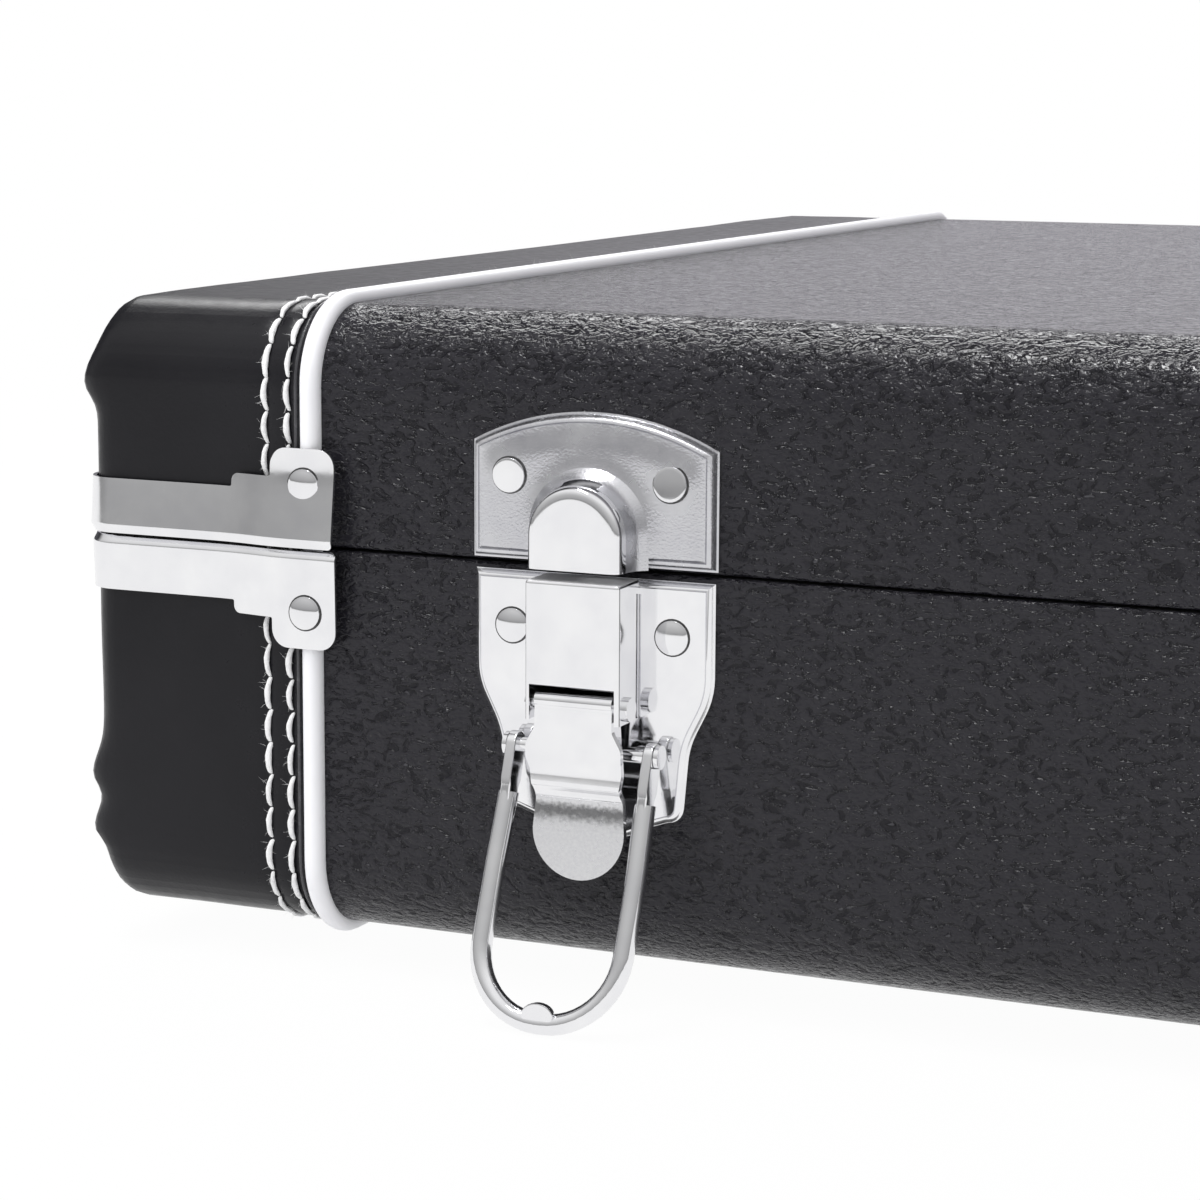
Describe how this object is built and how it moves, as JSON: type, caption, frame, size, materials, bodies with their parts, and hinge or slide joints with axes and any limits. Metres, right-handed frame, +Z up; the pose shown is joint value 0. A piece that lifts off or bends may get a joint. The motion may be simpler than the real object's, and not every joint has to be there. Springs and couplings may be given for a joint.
{
  "type": "electric guitar case",
  "caption": "Hard rectangular electric guitar case with hinged lid, draw latches, piped leather ends, steel edge strips and a carrying handle",
  "frame": {"origin": "on the floor under the middle of the whole footprint, with the case lying on its feet", "axes": "+X along the case from the headstock end to the body end, +Y from the latches to the hinges, +Z up"},
  "size_m": [1.0244, 0.3627, 0.112],
  "materials": {
    "plywood": "bare poplar plywood",
    "textured_vinyl": "rough bark-grain vinyl cloth",
    "smooth_leather": "smooth satin leather",
    "white_piping": "soft gloss white vinyl cord",
    "nickel_plate": "bright nickel plate",
    "steel": "polished wire",
    "plush": "short grey plush over foam",
    "handle_grip": "moulded grip with a leather grain",
    "rubber_feet": "matt"
  },
  "bodies": {
    "base": {"back_head_pad": "plush", "back_shoulder_pad": "plush", "base_box": "plywood", "base_cap_left": "smooth_leather", "base_cap_right": "smooth_leather", "base_edge_strip_left": "nickel_plate", "base_edge_strip_right": "nickel_plate", "base_lining": "plush", "base_piping_left": "white_piping", "base_piping_right": "white_piping", "base_rivets": "nickel_plate", "base_vinyl": "textured_vinyl", "compartment_box": "plywood", "feet": "rubber_feet", "foot_screws": "steel", "front_neck_pad": "plush", "handle_brackets": "nickel_plate", "hinge_base_leaves": "nickel_plate", "hinge_pins": "steel", "latch_plate_1": "nickel_plate", "latch_plate_2": "nickel_plate", "latch_plate_3": "nickel_plate", "latch_plate_4": "nickel_plate", "lever_pins": "steel", "neck_cradle": "plush", "rim_lip": "plywood", "tail_pads": "plush"},
    "lid": {"hinge_lid_leaves": "nickel_plate", "keeper_1": "nickel_plate", "keeper_2": "nickel_plate", "keeper_3": "nickel_plate", "keeper_4": "nickel_plate", "lid_box": "plywood", "lid_cap_left": "smooth_leather", "lid_cap_right": "smooth_leather", "lid_edge_strip_left": "nickel_plate", "lid_edge_strip_right": "nickel_plate", "lid_lining": "plush", "lid_pad": "plush", "lid_piping_left": "white_piping", "lid_piping_right": "white_piping", "lid_rivets": "nickel_plate", "lid_vinyl": "textured_vinyl"},
    "accessory_lid": {"compartment_lid": "plush", "compartment_tab": "plush"},
    "carry_handle": {"handle_bar": "steel", "handle_grip": "handle_grip"},
    "latch_lever_1": {"lever_1": "nickel_plate", "loop_pin_1": "steel"},
    "latch_lever_2": {"lever_2": "nickel_plate", "loop_pin_2": "steel"},
    "latch_lever_3": {"lever_3": "nickel_plate", "loop_pin_3": "steel"},
    "latch_lever_4": {"lever_4": "nickel_plate", "loop_pin_4": "steel"},
    "latch_loop_1": {"loop_1": "nickel_plate"},
    "latch_loop_2": {"loop_2": "nickel_plate"},
    "latch_loop_3": {"loop_3": "nickel_plate"},
    "latch_loop_4": {"loop_4": "nickel_plate"}
  },
  "joints": [
    {"name": "lid_hinge", "type": "hinge", "parent": "base", "child": "lid", "pos_m": [0, 0.17722, 0.071], "axis": [-1, 0, 0], "range_deg": [0, 105]},
    {"name": "handle_hinge", "type": "hinge", "parent": "base", "child": "carry_handle", "pos_m": [0, -0.17278, 0.05], "axis": [-1, 0, 0], "range_deg": [0, 150]},
    {"name": "accessory_lid_hinge", "type": "hinge", "parent": "base", "child": "accessory_lid", "pos_m": [-0.18, 0.16121, 0.0453], "axis": [-1, 0, 0], "range_deg": [0, 28]},
    {"name": "lever_1_hinge", "type": "hinge", "parent": "base", "child": "latch_lever_1", "pos_m": [-0.417, -0.16709, 0.0502], "axis": [-1, 0, 0], "range_deg": [0, 80]},
    {"name": "loop_1_hinge", "type": "hinge", "parent": "latch_lever_1", "child": "latch_loop_1", "pos_m": [-0.417, -0.16578, 0.0428], "axis": [-1, 0, 0], "range_deg": [-15, 72]},
    {"name": "lever_2_hinge", "type": "hinge", "parent": "base", "child": "latch_lever_2", "pos_m": [-0.16, -0.16709, 0.0502], "axis": [-1, 0, 0], "range_deg": [0, 80]},
    {"name": "loop_2_hinge", "type": "hinge", "parent": "latch_lever_2", "child": "latch_loop_2", "pos_m": [-0.16, -0.16578, 0.0428], "axis": [-1, 0, 0], "range_deg": [-15, 72]},
    {"name": "lever_3_hinge", "type": "hinge", "parent": "base", "child": "latch_lever_3", "pos_m": [0.16, -0.16709, 0.0502], "axis": [-1, 0, 0], "range_deg": [0, 80]},
    {"name": "loop_3_hinge", "type": "hinge", "parent": "latch_lever_3", "child": "latch_loop_3", "pos_m": [0.16, -0.16578, 0.0428], "axis": [-1, 0, 0], "range_deg": [-15, 72]},
    {"name": "lever_4_hinge", "type": "hinge", "parent": "base", "child": "latch_lever_4", "pos_m": [0.417, -0.16709, 0.0502], "axis": [-1, 0, 0], "range_deg": [0, 80]},
    {"name": "loop_4_hinge", "type": "hinge", "parent": "latch_lever_4", "child": "latch_loop_4", "pos_m": [0.417, -0.16578, 0.0428], "axis": [-1, 0, 0], "range_deg": [-15, 72]}
  ]
}
